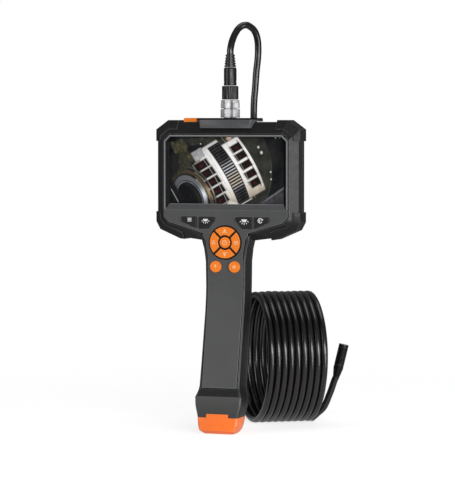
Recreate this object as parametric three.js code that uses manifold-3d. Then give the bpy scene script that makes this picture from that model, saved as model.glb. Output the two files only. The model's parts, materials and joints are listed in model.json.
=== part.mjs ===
// Handheld inspection camera: display head on a raked grip, hinged end cap, coiled push cable and probe.
// Units are millimetres, +Z up, the display faces -Y.
import * as THREE from "three";
import * as BufferGeometryUtils from "three/addons/utils/BufferGeometryUtils.js";
import Module from "manifold-3d";

const wasm = await Module();
wasm.setup();

// ---- driving dimensions ----
const FRONT_Y = -16;          // display bezel plane
const PAD_Z = 150;            // centre of the direction pad above the foot
const HEAD_DEPTH = 32;
const GAP = 0.3;              // clearance between neighbouring pieces
const GROOVE = 0.75;          // shadow gap round the bezel plate
const BEZEL_T = 3.0;          // bezel plate thickness
const HEAD_WALL = 4.3;        // front wall depth behind the bezel plane
const CONNECTOR_Y = -3.6;
const CABLE_R = 2.7;
const COIL_C = [21.1, 65.2, 53.7];
const COIL_AXIS = [-0.834, -0.552, 0];
const COIL_R = 51;
const COIL_HALF = 28.15;      // half the width of the wound coil
const PAD_R = 13.6;
const HINGE_Y = 0.3, HINGE_Z = 12.2;
const PIN_R = 1.0;

// ---- helpers ----
const V = (x, y, z) => new THREE.Vector3(x, y, z);
function clean(geo) {
  const g = geo.clone();
  g.deleteAttribute("normal"); g.deleteAttribute("uv");
  return BufferGeometryUtils.mergeVertices(g, 1e-4);
}
function signedVolume(g) {
  const p = g.attributes.position, ix = g.index;
  const a = V(0, 0, 0), b = V(0, 0, 0), c = V(0, 0, 0);
  let v = 0;
  for (let i = 0; i < ix.count; i += 3) {
    a.fromBufferAttribute(p, ix.getX(i)); b.fromBufferAttribute(p, ix.getX(i + 1)); c.fromBufferAttribute(p, ix.getX(i + 2));
    v += a.dot(b.cross(c)) / 6;
  }
  return v;
}
function outward(geo) {
  const g = clean(geo);
  if (signedVolume(g) < 0) {
    const ix = g.index.array;
    for (let i = 0; i < ix.length; i += 3) { const t = ix[i + 1]; ix[i + 1] = ix[i + 2]; ix[i + 2] = t; }
  }
  return g;
}
function M(geo) {
  const g = outward(geo);
  const mesh = new wasm.Mesh({
    numProp: 3,
    vertProperties: new Float32Array(g.attributes.position.array),
    triVerts: new Uint32Array(g.index.array),
  });
  return new wasm.Manifold(mesh);
}
function G(man) {
  const m = man.getMesh();
  const n = m.numProp, vp = m.vertProperties, pos = new Float32Array((vp.length / n) * 3);
  for (let i = 0; i < vp.length / n; i++) for (let k = 0; k < 3; k++) pos[3 * i + k] = vp[n * i + k];
  const g = new THREE.BufferGeometry();
  g.setAttribute("position", new THREE.BufferAttribute(pos, 3));
  g.setIndex(new THREE.BufferAttribute(new Uint32Array(m.triVerts), 1));
  return g;
}
const sub = (a, ...bs) => bs.reduce((r, b) => r.subtract(b), a);
const add = (a, ...bs) => bs.reduce((r, b) => r.add(b), a);
function shapeOf(pts, holes = []) {
  const s = new THREE.Shape(pts.map((p) => new THREE.Vector2(p[0], p[1])));
  for (const h of holes) s.holes.push(new THREE.Path(h.map((p) => new THREE.Vector2(p[0], p[1]))));
  return s;
}
function prismY(pts, y0, y1, holes = []) {
  const g = new THREE.ExtrudeGeometry(shapeOf(pts, holes), { depth: y1 - y0, bevelEnabled: false, curveSegments: 1 });
  g.rotateX(Math.PI / 2); g.translate(0, y1, 0);
  return g;
}
function prismZ(pts, z0, z1, holes = []) {
  const g = new THREE.ExtrudeGeometry(shapeOf(pts, holes), { depth: z1 - z0, bevelEnabled: false, curveSegments: 1 });
  g.translate(0, 0, z0);
  return g;
}
function prismX(pts, x0, x1) {
  const g = new THREE.ExtrudeGeometry(shapeOf(pts), { depth: x1 - x0, bevelEnabled: false, curveSegments: 1 });
  g.applyMatrix4(new THREE.Matrix4().makeBasis(V(0, 1, 0), V(0, 0, 1), V(1, 0, 0)));
  g.translate(x0, 0, 0);
  return g;
}
function box(x0, x1, y0, y1, z0, z1) {
  const g = new THREE.BoxGeometry(x1 - x0, y1 - y0, z1 - z0);
  g.translate((x0 + x1) / 2, (y0 + y1) / 2, (z0 + z1) / 2);
  return g;
}
function circ(cx, cy, r, n = 32, a0 = 0) {
  const out = [];
  for (let i = 0; i < n; i++) { const t = a0 + (i / n) * 2 * Math.PI; out.push([cx + r * Math.cos(t), cy + r * Math.sin(t)]); }
  return out;
}
const cylY = (x, z, r, y0, y1, n = 32) => prismY(circ(x, z, r, n), y0, y1);
const cylZ = (x, y, r, z0, z1, n = 32) => prismZ(circ(x, y, r, n), z0, z1);
const cylX = (y, z, r, x0, x1, n = 16) => prismX(circ(y, z, r, n), x0, x1);
function loft(rings, drop) {
  const n = rings[0].length, pos = [], idx = [];
  for (const r of rings) for (const p of r) pos.push(p[0], p[1], p[2]);
  for (let k = 0; k + 1 < rings.length; k++) for (let i = 0; i < n; i++) {
    const j = (i + 1) % n, a = k * n + i, b = k * n + j, c = a + n, d = b + n;
    idx.push(a, b, d, a, d, c);
  }
  const cap = (ring) => THREE.ShapeUtils.triangulateShape(ring.map((p) => new THREE.Vector2(...drop(p))), []);
  const last = (rings.length - 1) * n;
  const area = THREE.ShapeUtils.area(rings[0].map((p) => new THREE.Vector2(...drop(p))));
  for (const t of cap(rings[0])) area > 0 ? idx.push(t[0], t[2], t[1]) : idx.push(t[0], t[2], t[1]);
  for (const t of cap(rings[rings.length - 1])) idx.push(last + t[0], last + t[1], last + t[2]);
  const g = new THREE.BufferGeometry();
  g.setAttribute("position", new THREE.BufferAttribute(new Float32Array(pos), 3));
  g.setIndex(idx);
  return g;
}
function offsetPoly(pts, d) { // counter-clockwise outline, positive grows
  const n = pts.length, out = [];
  for (let i = 0; i < n; i++) {
    const p0 = pts[(i + n - 1) % n], p1 = pts[i], p2 = pts[(i + 1) % n];
    const e1 = [p1[0] - p0[0], p1[1] - p0[1]], e2 = [p2[0] - p1[0], p2[1] - p1[1]];
    const l1 = Math.hypot(...e1), l2 = Math.hypot(...e2);
    const n1 = [e1[1] / l1, -e1[0] / l1], n2 = [e2[1] / l2, -e2[0] / l2];
    const k = 1 + n1[0] * n2[0] + n1[1] * n2[1];
    out.push([p1[0] + (d * (n1[0] + n2[0])) / k, p1[1] + (d * (n1[1] + n2[1])) / k]);
  }
  return out;
}
const mirrorPoly = (half) => half.concat(half.slice().reverse().map((p) => [-p[0], p[1]]));
const lerp = (a, b, t) => a + (b - a) * t;

// ---- display head ----
const halfOuter = [[19.8, 1.3], [39.7, 3.9], [55.9, 10.9], [58.8, 16.4], [58.8, 88.5], [49.6, 95.2]];
const halfPanel = [[20.7, 7.7], [36, 12], [47.9, 15.5], [52, 20], [52, 80], [47, 85]];
const outline = (t, d = 0) => offsetPoly(mirrorPoly(halfOuter.map((o, i) => [lerp(halfPanel[i][0], o[0], t), lerp(halfPanel[i][1], o[1], t) + PAD_Z])), d);
const ringY = (pts, depth) => pts.map((p) => [p[0], FRONT_Y + depth, p[1]]);
const xz = (p) => [p[0], p[2]];
const headLoft = (grow, stops) => loft(stops.map(([depth, t, off]) => ringY(outline(t, off + grow), depth)), xz);
const OUTER_STOPS = [[0, 0, 0], [6, 1, 0], [21, 1, 0], [HEAD_DEPTH, 1, -8]];
const headOuter = M(headLoft(0, OUTER_STOPS));
const headGrown = M(headLoft(GAP, [[-GAP, 0, 0], [6, 1, 0], [21, 1, 0], [HEAD_DEPTH + GAP, 1, -8]]));
const headCavity = M(headLoft(0, [[HEAD_WALL, 0.7, -2.6], [6.6, 1, -2.5], [20.4, 1, -2.5], [29.6, 1, -9.2]]));

// ---- grip ----
// z, half width, depth, front shift
const GRIP = [
  [170, 20.0, 29, 0], [152, 20.3, 30, 0], [145, 18.3, 31, 0], [135, 16.9, 32, 0], [115, 16.6, 32, 0], [105, 16.6, 32, -0.7],
  [95, 16.6, 32, -2.3], [75, 16.7, 32.6, -6.5], [55, 16.8, 33.6, -10.7], [37.5, 16.9, 34.6, -14.7],
  [34, 17.5, 35.4, -15.8], [28.6, 19.6, 38.0, -17.7], [22, 19.0, 37.4, -18.6], [13.3, 16.9, 35.0, -19.4],
];
function gripAt(z) {
  for (let i = 0; i + 1 < GRIP.length; i++) {
    const a = GRIP[i], b = GRIP[i + 1];
    if (z <= a[0] && z >= b[0]) { const t = (a[0] - z) / (a[0] - b[0]); return [z, lerp(a[1], b[1], t), lerp(a[2], b[2], t), lerp(a[3], b[3], t)]; }
  }
  return z > GRIP[0][0] ? [z, ...GRIP[0].slice(1)] : [z, ...GRIP[GRIP.length - 1].slice(1)];
}
function gripRing(z, w, dep, shift, inset = 0, frontInset = inset, backInset = inset) {
  const W = w - inset, f = frontInset, b = dep - backInset, D = b - f;
  const half = [[W - 1.5, f], [W - 0.4, f + 0.9], [W, f + 2.8], [W - 0.1, f + D * 0.45], [W * 0.94, f + D * 0.63], [W * 0.81, f + D * 0.79], [W * 0.6, f + D * 0.91], [W * 0.33, f + D * 0.98]];
  const full = half.concat(half.slice().reverse().map((p) => [-p[0], p[1]]));
  return full.map((p) => [p[0], FRONT_Y + shift + p[1], z]);
}
const xy = (p) => [p[0], p[1]];
const gripOuter = M(loft(GRIP.map((g) => gripRing(...g)), xy));
const cavStops = [[166, 19, 29, 0], ...GRIP.slice(1, -1), [13.3, 16.9, 35.0, -19.4], [11, 16.9, 35.0, -19.9]];
const gripCavity = M(loft(cavStops.map((g) => gripRing(...g, 2.3, BEZEL_T + 2.0, 2.5)), xy));
const frontY = (z) => FRONT_Y + gripAt(z)[3];

const body = headOuter.add(gripOuter);
const cavity = headCavity.add(gripCavity);

// ---- bezel plate outline ----
const bezelOutline = mirrorPoly([[14.4, 36], [14.6, 140], [16.6, 152], [20.9, 158], [47.7, 165.8], [51.7, 170.2], [51.7, 230.1], [46.9, 234.9]]);
const Z_STOPS = [300, 115, 105, 95, 75, 55, 37.5, 34, 28.6, 22, 13.3, 5];
const layer = (depth) => prismX([[-90, 300], [-90, 5], ...Z_STOPS.slice().reverse().map((z) => [frontY(z) + depth, z])], -80, 80);
const partProfile = Z_STOPS.map((z) => [frontY(z) + 16, z]);
const frontHalf = M(prismX([...partProfile.map((p) => [p[0] - GAP / 2, p[1]]), [-90, 5], [-90, 300]], -80, 80));
const rearHalf = M(prismX([...partProfile.map((p) => [p[0] + GAP / 2, p[1]]), [90, 5], [90, 300]], -80, 80));

// ---- key outlines ----
const zz = (pts) => pts.map((p) => [p[0], p[1] + PAD_Z]);
const keyOuterR = zz([[24.1, 11.2], [36.6, 16.3], [36.6, 20.0], [24.1, 20.0]]);
const keyInnerR = zz([[8.7, 17.6], [14.2, 10.9], [22.1, 10.9], [22.1, 20.0], [8.7, 20.0]]);
const mirrorKey = (pts) => pts.map((p) => [-p[0], p[1]]).reverse();
const bezelKeys = { key_menu: mirrorKey(keyOuterR), key_light_down: mirrorKey(keyInnerR), key_light_up: keyInnerR, key_rotate: keyOuterR };
const ROUND = { key_round_left: [-7.85, PAD_Z - 19.2], key_round_right: [7.85, PAD_Z - 19.2] };
const ROUND_R = 4.6;
function quadrant(mid, r0, r1, halfGap) {
  const out = [], n = 12;
  const lim = (r) => Math.PI / 4 - Math.asin(halfGap / r);
  for (let i = 0; i <= n; i++) { const a = mid - lim(r1) + (2 * lim(r1) * i) / n; out.push([r1 * Math.cos(a), PAD_Z + r1 * Math.sin(a)]); }
  for (let i = 0; i <= n / 2; i++) { const a = mid + lim(r0) - (4 * lim(r0) * i) / n; out.push([r0 * Math.cos(a), PAD_Z + r0 * Math.sin(a)]); }
  return out;
}
const QUADS = { dpad_right: 0, dpad_up: Math.PI / 2, dpad_left: Math.PI, dpad_down: -Math.PI / 2 };
const SCREEN = [-47.5, 47.5, PAD_Z + 30.4, PAD_Z + 84.4];

// through-holes shared by bezel plate and front wall
const holeY0 = FRONT_Y - 8, holeY1 = FRONT_Y + 8;
const keyHoles = [
  M(cylY(0, PAD_Z, PAD_R + GAP, holeY0, holeY1, 48)),
  ...Object.values(ROUND).map((c) => M(cylY(c[0], c[1], ROUND_R + GAP, holeY0, holeY1, 28))),
  ...Object.values(bezelKeys).map((k) => M(prismY(offsetPoly(k, GAP), holeY0, holeY1))),
];

// ---- hinge and cap ----
const knuckle = (x0, x1, r) => M(cylX(HINGE_Y, HINGE_Z, r, x0, x1));
const capStops = [[13.0, 16.9, 35.0, -19.45], [7, 16.3, 34.2, -20.3], [2.8, 15.0, 32.4, -20.6], [0, 12.2, 27.0, -16.6]];
const capOuter = M(loft(capStops.map((g) => gripRing(...g)), xy));
const capCavity = M(loft([[14, 16.9, 35, -19.45], [7, 16.3, 34.2, -20.3], [3.2, 15.2, 32.6, -20.6]].map((g) => gripRing(...g, 2.0, 2.0, 2.2)), xy));
const tabFront = frontY(14.5);
const tab = M(prismX([[tabFront - 0.7, 11.5], [tabFront + 1.5, 11.5], [tabFront + 1.5, 15.8], [tabFront + 0.1, 15.8]], -9, 9));
let cap = sub(capOuter, capCavity).add(tab);
const capWeb = (x0, x1) => M(box(x0, x1, -2.6, HINGE_Y, 9.9, 12.9));
cap = add(cap, knuckle(4.4, 8.4, 2.3), knuckle(-8.4, -4.4, 2.3), capWeb(4.4, 8.4), capWeb(-8.4, -4.4));
cap = sub(cap, knuckle(-4.1, 4.1, 2.7), knuckle(-12, 12, PIN_R + GAP), M(box(-4.1, 4.1, HINGE_Y - 2.7, HINGE_Y + 4, HINGE_Z, 20)));
const tabPocket = M(box(-9.3, 9.3, -60, tabFront + 1.8, 10, 16.1));

// ---- screws ----
// x, z, front plane at that height, boss end depth, counterbore depth
const SCREWS = [
  [-44, PAD_Z + 88.8, FRONT_Y, 17.5, 22.6], [44, PAD_Z + 88.8, FRONT_Y, 17.5, 22.6],
  [-47.5, PAD_Z + 21.2, FRONT_Y, 17.5, 25.0], [47.5, PAD_Z + 21.2, FRONT_Y, 17.5, 25.0],
  [0, 112, frontY(112), 17.0, 27.5], [0, 31, frontY(31), 17.0, 32.0],
];
const bosses = [], bossCuts = [], cols = [], colCuts = [], screwGeos = [];
for (const [x, z, y0, dEnd, dHead] of SCREWS) {
  bosses.push(M(cylY(x, z, 3.4, y0 + 4.0, y0 + dEnd, 20)));
  bossCuts.push(M(cylY(x, z, 1.65, y0 + 6.5, y0 + dEnd + 1, 16)));
  cols.push(M(cylY(x, z, 4.3, y0 + dEnd + GAP, y0 + 50, 20)));
  colCuts.push(M(cylY(x, z, 1.65, y0 + dEnd - 1, y0 + 60, 16)), M(cylY(x, z, 3.1, y0 + dHead, y0 + 60, 24)));
  const head = M(cylY(x, z, 2.75, y0 + dHead + GAP, y0 + dHead + 2.5, 24));
  const shank = M(cylY(x, z, 1.3, y0 + 7.2, y0 + dHead + 1, 12));
  const hex = M(cylY(x, z, 1.25, y0 + dHead + 1.2, y0 + dHead + 4, 6));
  screwGeos.push(G(head.add(shank).subtract(hex)));
}

// ---- shells ----
const hollow = body.subtract(cavity);
const screenHole = M(box(SCREEN[0] - 2, SCREEN[1] + 2, FRONT_Y - 5, FRONT_Y + 5.5, SCREEN[2] - 2, SCREEN[3] + 0.2));
const topSlot = M(box(-37.8, -26.2, FRONT_Y + 6.9, FRONT_Y + 14.3, 236, 260));
const shankHole = M(cylZ(0, CONNECTOR_Y, 5.3, 232, 262, 28));
const bezelPocket = M(prismY(offsetPoly(bezelOutline, GROOVE), -90, 20)).intersect(M(layer(BEZEL_T + GAP)));
let front = hollow.intersect(frontHalf);
for (const b of bosses) front = front.add(b.intersect(body).subtract(M(box(0, 0.001, 0, 0.001, 0, 0.001))));
front = sub(front, bezelPocket, screenHole, topSlot, shankHole, tabPocket, ...keyHoles, ...bossCuts);
let rear = hollow.intersect(rearHalf);
rear = rear.add(cols.map((c) => c.intersect(body)).reduce((a, b) => a.add(b)));
const earWeb = M(box(-4, 4, -3.4, HINGE_Y + 1, 13.4, 19)).add(M(prismX([[HINGE_Y - 2.3, HINGE_Z], [HINGE_Y + 2.3, HINGE_Z], [HINGE_Y + 2.0, 15.5], [HINGE_Y - 0.6, 21], [-4, 19], [-4, 13.4], [HINGE_Y - 2.3, 13.4]], -3.9, 3.9)));
const capSweep = add(knuckle(4.1, 8.7, 2.7), knuckle(-8.7, -4.1, 2.7));
rear = rear.add(add(earWeb.subtract(gripCavity), knuckle(-3.9, 3.9, 2.3)));
rear = sub(rear, ...colCuts, topSlot, shankHole, capSweep, knuckle(-12, 12, PIN_R + GAP));

// bezel plate with sloped screen opening
const slope = M(loft([
  ringY(mirrorPoly([[50.4, SCREEN[2] - 4.8], [50.4, PAD_Z + 79.6], [46.4, PAD_Z + 83.6]]), -0.01),
  ringY(mirrorPoly([[47.5, SCREEN[2]], [47.5, PAD_Z + 79.8], [44.2, PAD_Z + 83.1]]), BEZEL_T + 0.01)], xz));
let bezel = body.intersect(M(prismY(bezelOutline, -90, 20))).intersect(M(layer(BEZEL_T)));
bezel = sub(bezel, slope, ...keyHoles);

// ---- corner bumpers ----
const BUMP = [[2.2, 0.37, 0], [6, 1, 0], [21.4, 1, 0], [27, 1, -4.4]];
const bumpOut = M(headLoft(1.5, BUMP));
const bumpIn = M(headLoft(GAP, [[1.0, 0.17, 0], ...OUTER_STOPS.slice(1, 3), [HEAD_DEPTH + 0.2, 1, -8.1]]));
const bumpShell = bumpOut.subtract(bumpIn);
const corner = (x0, x1, z0, z1) => bumpShell.intersect(M(box(x0, x1, -40, 40, z0, z1)));
const bumpers = {
  bumper_top_left: corner(-70, -41, PAD_Z + 80, 270), bumper_top_right: corner(41, 70, PAD_Z + 80, 270),
  bumper_bottom_left: corner(-70, -36.5, 120, PAD_Z + 24), bumper_bottom_right: corner(36.5, 70, 120, PAD_Z + 24),
};

// ---- top connector ----
let block = M(prismZ([[-21.6, FRONT_Y - 3], [20.2, FRONT_Y - 3], [20.2, FRONT_Y + 1.6], [24.6, FRONT_Y + 8.4], [24.6, FRONT_Y + 22], [-26.2, FRONT_Y + 22], [-26.2, FRONT_Y + 8.4], [-21.6, FRONT_Y + 1.6]], 236, 252));
block = block.intersect(M(prismX([[FRONT_Y + 1.0, 240.2], [FRONT_Y + 21, 240.2], [FRONT_Y + 21, 247.2], [FRONT_Y + 19.9, 248.3], [FRONT_Y + 4.2, 248.3], [FRONT_Y + 1.6, 246.8]], -40, 40)));
block = sub(block, headGrown, M(cylZ(0, CONNECTOR_Y, 5.3, 230, 262, 28)));
const lathe = (pts, x, y, n = 32) => { const g = new THREE.LatheGeometry(pts.map((p) => new THREE.Vector2(p[0], p[1])), n); g.rotateX(Math.PI / 2); g.translate(x, y, 0); return g; };
const receptacle = lathe([[0, 237], [5.0, 237], [5.0, 248.6], [7.7, 248.6], [7.7, 254.6], [7.2, 255.4], [5.0, 255.4], [5.0, 262.0], [3.6, 262.0], [3.6, 258.5], [0, 258.5]], 0, CONNECTOR_Y);
function fluted(r, depth, n) { const out = []; for (let i = 0; i < n; i++) { const s = (2 * Math.PI) / n, a = i * s; out.push([r * Math.cos(a - s * 0.3), r * Math.sin(a - s * 0.3)], [r * Math.cos(a + s * 0.3), r * Math.sin(a + s * 0.3)], [(r - depth) * Math.cos(a + s * 0.5), (r - depth) * Math.sin(a + s * 0.5)]); } return out; }
const at = (pts, x, y) => pts.map((p) => [p[0] + x, p[1] + y]);
const nut = M(prismZ(at(fluted(7.5, 0.45, 24), 0, CONNECTOR_Y), 255.8, 262.6)).subtract(M(cylZ(0, CONNECTOR_Y, 5.3, 250, 270, 32)));
const grip = prismZ(at(fluted(6.55, 0.5, 18), 0, CONNECTOR_Y), 262.9, 273.7);
const plugBody = lathe([[0, 274.0], [5.05, 274.0], [5.05, 287.2], [4.6, 288.3], [0, 288.3]], 0, CONNECTOR_Y, 28);
const reliefPts = [[0, 288.6]];
for (let i = 0; i < 5; i++) { const z = 288.6 + i * 2.1, r = 4.7 - i * 0.24; reliefPts.push([r, z], [r - 0.1, z + 1.3], [r - 0.8, z + 1.3], [r - 0.85, z + 2.1]); }
reliefPts.push([0, 299.1]);
const relief = lathe(reliefPts, 0, CONNECTOR_Y, 16);

// ---- cable ----
const A = V(...COIL_AXIS).normalize(), C = V(...COIL_C), H = V(0.552, -0.834, 0).normalize();
function tube(pts, r, steps, n) {
  const curve = new THREE.CatmullRomCurve3(pts.map((p) => V(...p)), false, "centripetal");
  return new THREE.ExtrudeGeometry(shapeOf(circ(0, 0, r, n)), { steps, bevelEnabled: false, extrudePath: curve, curveSegments: 1 });
}
const LOOP = [
  [0, CONNECTOR_Y, 299.4], [0.02, -3.45, 302], [0.2, -2.7, 304.8], [0.7, -0.8, 309.4], [2.2, 3.7, 316.1], [4.1, 6.8, 319.9], [7.6, 10.5, 322.2], [10.5, 15.6, 320.8], [12.6, 19.4, 317.7],
  [14.0, 22.4, 311.5], [14.2, 23.9, 303.9], [13.7, 24.2, 294.9], [12.6, 24.4, 286.1], [11.6, 24.5, 273.3], [10.5, 24.6, 260.6], [10.0, 25.2, 248.4], [8.6, 27, 225], [4.8, 32.5, 190], [-3, 44, 150], [-12.2, 59.5, 122], [-16.2, 68.5, 109],
];
const TAIL = [[64.3, 57.7, 24.8], [65.7, 58.0, 28.5], [66.9, 58.2, 32.3], [67.9, 58.3, 35.0]];
const PROBE_BASE = V(71.1, 58.7, 45.5), PROBE_DIR = V(0.232, 0.055, 1).normalize();
const PROBE_LEN = 20.3;
const coil = (() => {
  const g = new THREE.LatheGeometry([[COIL_R - CABLE_R, -COIL_HALF], [COIL_R + CABLE_R, -COIL_HALF], [COIL_R + CABLE_R, COIL_HALF], [COIL_R - CABLE_R, COIL_HALF], [COIL_R - CABLE_R, -COIL_HALF]].map((p) => new THREE.Vector2(...p)), 48);
  g.rotateY(Math.PI / 48);
  g.applyMatrix4(new THREE.Matrix4().makeBasis(V(0, 0, 1).cross(A).negate(), A, V(0, 0, 1)));
  g.translate(C.x, C.y, C.z);
  return g;
})();
function along(geo, base, dir) { geo.applyQuaternion(new THREE.Quaternion().setFromUnitVectors(V(0, 0, 1), dir)); geo.translate(base.x, base.y, base.z); return geo; }
const latheZ = (pts, n = 22) => { const g = new THREE.LatheGeometry(pts.map((p) => new THREE.Vector2(p[0], p[1])), n); g.rotateX(Math.PI / 2); return g; };
const probeBody = along(latheZ([[0, -6.6], [2.7, -6.6], [3.95, 0], [3.95, PROBE_LEN - 0.4], [3.6, PROBE_LEN], [3.6, PROBE_LEN - 0.9], [0, PROBE_LEN - 0.9]]), PROBE_BASE, PROBE_DIR);
const probeRing = along(latheZ([[1.5, PROBE_LEN - 0.6], [3.3, PROBE_LEN - 0.6], [3.3, PROBE_LEN], [1.5, PROBE_LEN], [1.5, PROBE_LEN - 0.6]]), PROBE_BASE, PROBE_DIR);
const probeLens = along(latheZ([[0, PROBE_LEN - 0.6], [1.2, PROBE_LEN - 0.6], [1.2, PROBE_LEN - 0.1], [0.8, PROBE_LEN + 0.1], [0, PROBE_LEN + 0.2]]), PROBE_BASE, PROBE_DIR);
const tailPts = TAIL.concat([PROBE_BASE.clone().addScaledVector(PROBE_DIR, -7.3).toArray()]);

// ---- inner pieces ----
const tee = (g) => mirrorPoly([[12.6 - g, 121.5 + g], [12.6 - g, 158.5 + g], [38 - g, 163.6 + g], [38 - g, 172.5 - g]]);
const windowG = box(SCREEN[0] - 1.6, SCREEN[1] + 1.6, FRONT_Y + 3.35, FRONT_Y + 4.35, SCREEN[2] - 1.6, SCREEN[3] - 0.15);
const lcd = box(-49, 49, FRONT_Y + 4.7, FRONT_Y + 7.2, SCREEN[2] - 2.2, SCREEN[3] - 0.3);
const backlight = M(box(-49.6, 49.6, FRONT_Y + 7.5, FRONT_Y + 9.6, SCREEN[2] - 2.4, SCREEN[3])).subtract(M(box(-46, 46, FRONT_Y + 8.6, FRONT_Y + 12, SCREEN[2] + 1, SCREEN[3] - 3)));
const board = M(box(-40, 40, FRONT_Y + 12, FRONT_Y + 13.6, 176, 231)).add(M(box(-16, 10, FRONT_Y + 13.5, FRONT_Y + 15.4, 186, 206))).add(M(box(18, 30, FRONT_Y + 13.5, FRONT_Y + 15.0, 212, 224))).add(M(box(-34, -22, FRONT_Y + 13.5, FRONT_Y + 16.2, 214, 222)));
const ribbon = prismX([[FRONT_Y + 10.3, 150], [FRONT_Y + 10.6, 150], [FRONT_Y + 10.6, 171.6], [FRONT_Y + 11.3, 173.6], [FRONT_Y + 11.3, 200], [FRONT_Y + 11.0, 200], [FRONT_Y + 11.0, 173.7], [FRONT_Y + 10.3, 171.7]], -5, 5);
const CELL_C = V(0, frontY(70) + 17.4, 70);
const cell = (() => { const g = latheZ([[0, -32.5], [9.1, -32.5], [9.1, 31.6], [8.6, 32.3], [4.0, 32.3], [4.0, 33.6], [0, 33.6]], 28); return along(g, CELL_C, V(0, 0.205, 1).normalize()); })();
const cradle = (() => { // half sleeve holding the cell
  const out = [], n = 14; for (let i = 0; i <= n; i++) { const a = -Math.PI * 0.08 - (Math.PI * 0.84 * i) / n; out.push([10.9 * Math.cos(a), 10.9 * Math.sin(a)]); }
  for (let i = n; i >= 0; i--) { const a = -Math.PI * 0.08 - (Math.PI * 0.84 * i) / n; out.push([9.5 * Math.cos(a), 9.5 * Math.sin(a)]); }
  return along(prismZ(out, -30, 30), CELL_C, V(0, 0.205, 1).normalize());
})();
const bottomRing = gripRing(...gripAt(15), 2.9, BEZEL_T + 2.6, 3.1).map((p) => [p[0], p[1]]);
const PX = -18.5; // y of the port row
const portPanel = sub(M(prismZ(bottomRing, 13.7, 16.0)), M(box(-10.3, -0.9, PX - 2.0, PX + 2.0, 10, 20)), M(box(1.6, 14, PX - 1.2, PX + 1.2, 10, 20)));
const usb = M(box(-10, -1.2, PX - 1.65, PX + 1.65, 13.9, 21.5)).subtract(M(box(-9.6, -1.6, PX - 1.25, PX + 1.25, 10, 20.9))).add(M(box(-8.6, -2.6, PX - 0.35, PX + 0.35, 14.6, 21.2)));
const slotHousing = M(box(1.5, 14, PX - 1.7, PX + 1.7, 16.3, 27.4)).subtract(M(box(2.0, 13.5, PX - 0.9, PX + 0.9, 10, 27.05)));
const card = box(2.3, 13.2, PX - 0.5, PX + 0.5, 11.9, 26.7);

// ---- assembly ----
const part = new THREE.Group();
part.name = "inspection_camera";
function put(name, geo, color, roughness = 0.5, metalness = 0) {
  const g = geo instanceof THREE.BufferGeometry ? outward(geo) : outward(G(geo));
  const flat = g.toNonIndexed(); flat.computeVertexNormals();
  const m = new THREE.Mesh(flat, new THREE.MeshStandardMaterial({ color, roughness, metalness }));
  m.name = name; part.add(m);
  return m;
}
const BLACK = 0x17181a, GREY = 0x55585c, ORANGE = 0xf07a1c;
put("front_shell", front, BLACK, 0.55);
put("rear_shell", rear, BLACK, 0.55);
put("front_bezel", bezel, GREY, 0.45);
put("screen_window", windowG, 0x30363c, 0.08);
put("lcd_panel", lcd, 0x101418, 0.3);
put("backlight_tray", backlight, 0xd8dadc, 0.4);
put("main_board", board, 0x1d6b3a, 0.5);
put("ribbon_cable", ribbon, 0xc98a2c, 0.5);
put("keypad_membrane", prismY(tee(0), FRONT_Y + 5.5, FRONT_Y + 6.3), 0x3a3d40, 0.8);
put("keypad_board", prismY(tee(0.4), FRONT_Y + 6.6, FRONT_Y + 8.0), 0x1d6b3a, 0.5);
put("dpad_frame", prismY(circ(0, PAD_Z, PAD_R, 48), FRONT_Y - 0.5, FRONT_Y + 4.7, [circ(0, PAD_Z, 4.7, 28), ...Object.values(QUADS).map((a) => quadrant(a, 5.6, 12.8, 0.6))]), 0x202224, 0.5);
for (const [k, a] of Object.entries(QUADS)) put(k, prismY(quadrant(a, 5.9, 12.5, 0.9), FRONT_Y - 1.2, FRONT_Y + 4.7), ORANGE, 0.45);
put("ok_key", cylY(0, PAD_Z, 4.4, FRONT_Y - 1.3, FRONT_Y + 4.7, 28), ORANGE, 0.45);
for (const [k, c] of Object.entries(ROUND)) {
  const dish = M(prismY(circ(c[0], c[1], 3.6, 24), FRONT_Y - 3, FRONT_Y - 0.9, [circ(c[0], c[1], 2.6, 24)]));
  put(k, M(cylY(c[0], c[1], ROUND_R, FRONT_Y - 1.3, FRONT_Y + 4.7, 28)).subtract(dish), ORANGE, 0.45);
}
for (const [k, p] of Object.entries(bezelKeys)) put(k, prismY(p, FRONT_Y - 0.9, FRONT_Y + 4.7), 0x1c1e20, 0.5);
put("key_top", prismY([[-37.5, 241.6], [-26.5, 241.6], [-26.5, 247.6], [-27.3, 248.4], [-36.7, 248.4], [-37.5, 247.6]], FRONT_Y + 7.2, FRONT_Y + 14.0), ORANGE, 0.45);
for (const [k, g] of Object.entries(bumpers)) put(k, g, 0x141516, 0.7);
put("connector_block", block, 0x3c3f42, 0.5);
put("receptacle", receptacle, 0xb9bcc0, 0.25, 1);
put("coupling_nut", nut, 0xb9bcc0, 0.25, 1);
put("plug_grip", grip, 0x141516, 0.6);
put("plug_body", plugBody, 0x141516, 0.5);
put("strain_relief", relief, 0x141516, 0.7);
put("cable_loop", tube(LOOP, CABLE_R, 38, 8), 0x111111, 0.3);
put("cable_coil", coil, 0x111111, 0.3);
put("cable_tail", tube(tailPts, CABLE_R, 8, 8), 0x111111, 0.3);
put("probe_body", probeBody, 0x141516, 0.35);
put("probe_led_ring", probeRing, 0xe8ecf0, 0.2);
put("probe_lens", probeLens, 0x20242c, 0.05);
put("battery_cell", cell, 0x2f6fb0, 0.4);
put("battery_cradle", cradle, 0x303236, 0.7);
put("port_panel", portPanel, 0x1c1e20, 0.6);
put("usb_socket", usb, 0xb9bcc0, 0.3, 1);
put("card_slot", slotHousing, 0xb9bcc0, 0.3, 1);
put("memory_card", card, 0x101112, 0.5);
put("end_cap", cap, 0xf2641a, 0.45);
put("hinge_pin", cylX(HINGE_Y, HINGE_Z, PIN_R, -8.4, 8.4, 16), 0xb9bcc0, 0.3, 1);
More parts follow.
